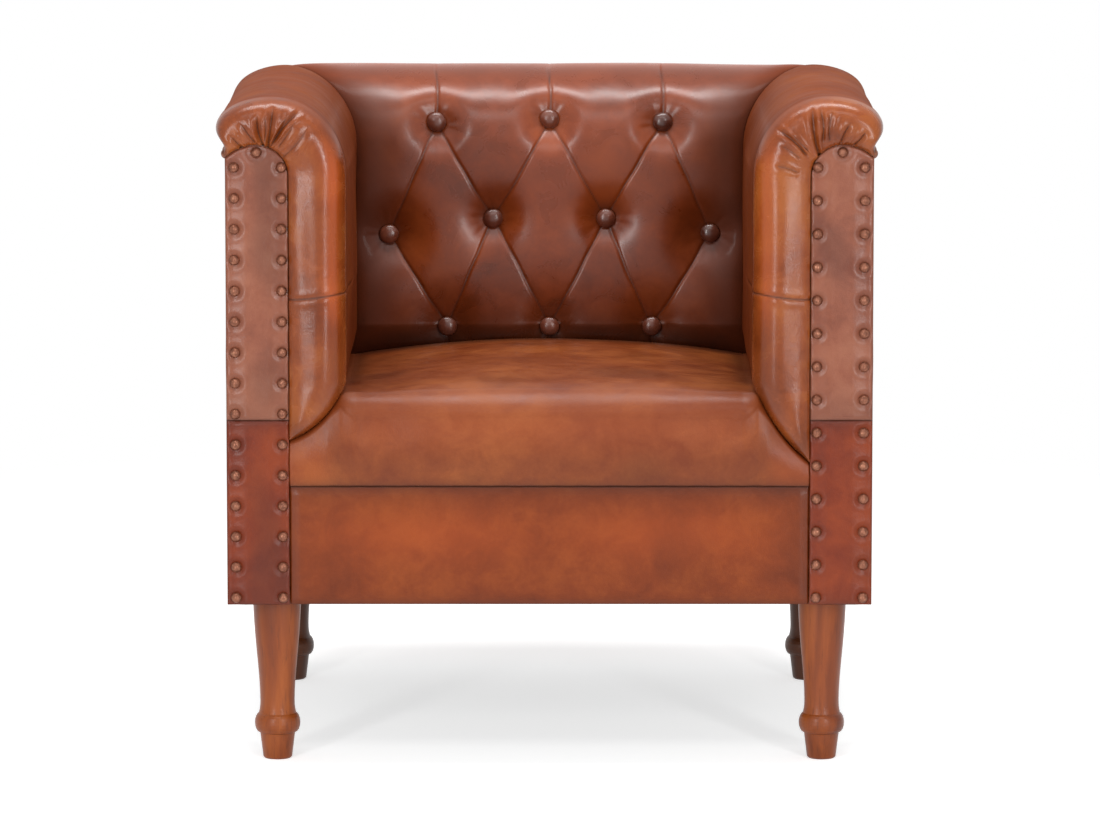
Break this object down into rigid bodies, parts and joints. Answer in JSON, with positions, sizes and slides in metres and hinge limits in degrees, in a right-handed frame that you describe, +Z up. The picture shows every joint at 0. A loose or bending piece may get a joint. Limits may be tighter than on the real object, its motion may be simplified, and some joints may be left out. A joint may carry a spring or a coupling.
{
  "type": "armchair",
  "caption": "Leather tub armchair with a buttoned inside back, rolled padded arms with gathered, nailed front facings, a tight sprung seat and turned wooden legs.",
  "frame": {"origin": "on the floor, under the centre of the chair's overall width and depth", "axes": "+Z up, -Y is the way the chair faces, +X is on the right as seen from the front"},
  "size_m": [0.656, 0.576, 0.666],
  "materials": {
    "frame_wood": "sawn hardwood, hidden",
    "lining_cloth": "woven lining cloth, hidden",
    "spring_steel": "oiled spring wire, hidden",
    "padding": "upholstery foam and wadding, hidden",
    "seat_leather": "hand rubbed, semi-gloss, mottled orange brown",
    "apron_leather": "hand rubbed, semi-gloss, mottled red brown",
    "arm_leather": "hand rubbed, semi-gloss, orange brown with darker edges",
    "back_leather": "hand rubbed, glossy on the pillows and dark in the folds",
    "button_leather": "covered buttons, dark brown",
    "backing_board": "thin plywood, hidden",
    "facing_leather": "hand rubbed, semi-gloss, red brown",
    "aged_brass": "aged dull brass",
    "outside_leather": "hand rubbed, semi-gloss, orange brown",
    "dust_cloth": "black non-woven cloth",
    "leg_wood": "stained and satin varnished, turned",
    "zinc_steel": "zinc plated"
  },
  "bodies": {
    "root": {"front_rail": "frame_wood", "back_rail": "frame_wood", "side_rail_left": "frame_wood", "side_rail_right": "frame_wood", "arm_post_left": "frame_wood", "arm_post_right": "frame_wood", "corner_post_left": "frame_wood", "corner_post_right": "frame_wood", "arm_top_rail_left": "frame_wood", "arm_top_rail_right": "frame_wood", "back_top_rail": "frame_wood", "arm_tacking_rail_left": "frame_wood", "arm_tacking_rail_right": "frame_wood", "back_tacking_rail": "frame_wood", "front_corner_blocks": "frame_wood", "arm_lining_left": "lining_cloth", "arm_lining_right": "lining_cloth", "back_lining": "lining_cloth", "seat_springs": "spring_steel", "spring_clips": "spring_steel", "spring_cloth": "lining_cloth", "seat_foam": "padding", "seat_cover": "seat_leather", "apron_cover": "apron_leather", "arm_foam_left": "padding", "arm_foam_right": "padding", "arm_cover_left": "arm_leather", "arm_cover_right": "arm_leather", "back_foam": "padding", "inside_back_cover": "back_leather", "back_buttons": "button_leather", "facing_board_left": "backing_board", "facing_board_right": "backing_board", "facing_upper_left": "facing_leather", "facing_upper_right": "facing_leather", "facing_lower_left": "facing_leather", "facing_lower_right": "facing_leather", "facing_nails_left": "aged_brass", "facing_nails_right": "aged_brass", "side_board_left": "backing_board", "side_board_right": "backing_board", "back_board": "backing_board", "outside_arm_left": "outside_leather", "outside_arm_right": "outside_leather", "outside_back": "outside_leather", "roll_nails_left": "aged_brass", "roll_nails_right": "aged_brass", "roll_nails_back": "aged_brass", "dust_cover": "dust_cloth", "leg_front_left": "leg_wood", "leg_front_right": "leg_wood", "leg_rear_left": "leg_wood", "leg_rear_right": "leg_wood", "leg_bolts": "zinc_steel", "leg_nuts": "zinc_steel"}
  },
  "joints": []
}
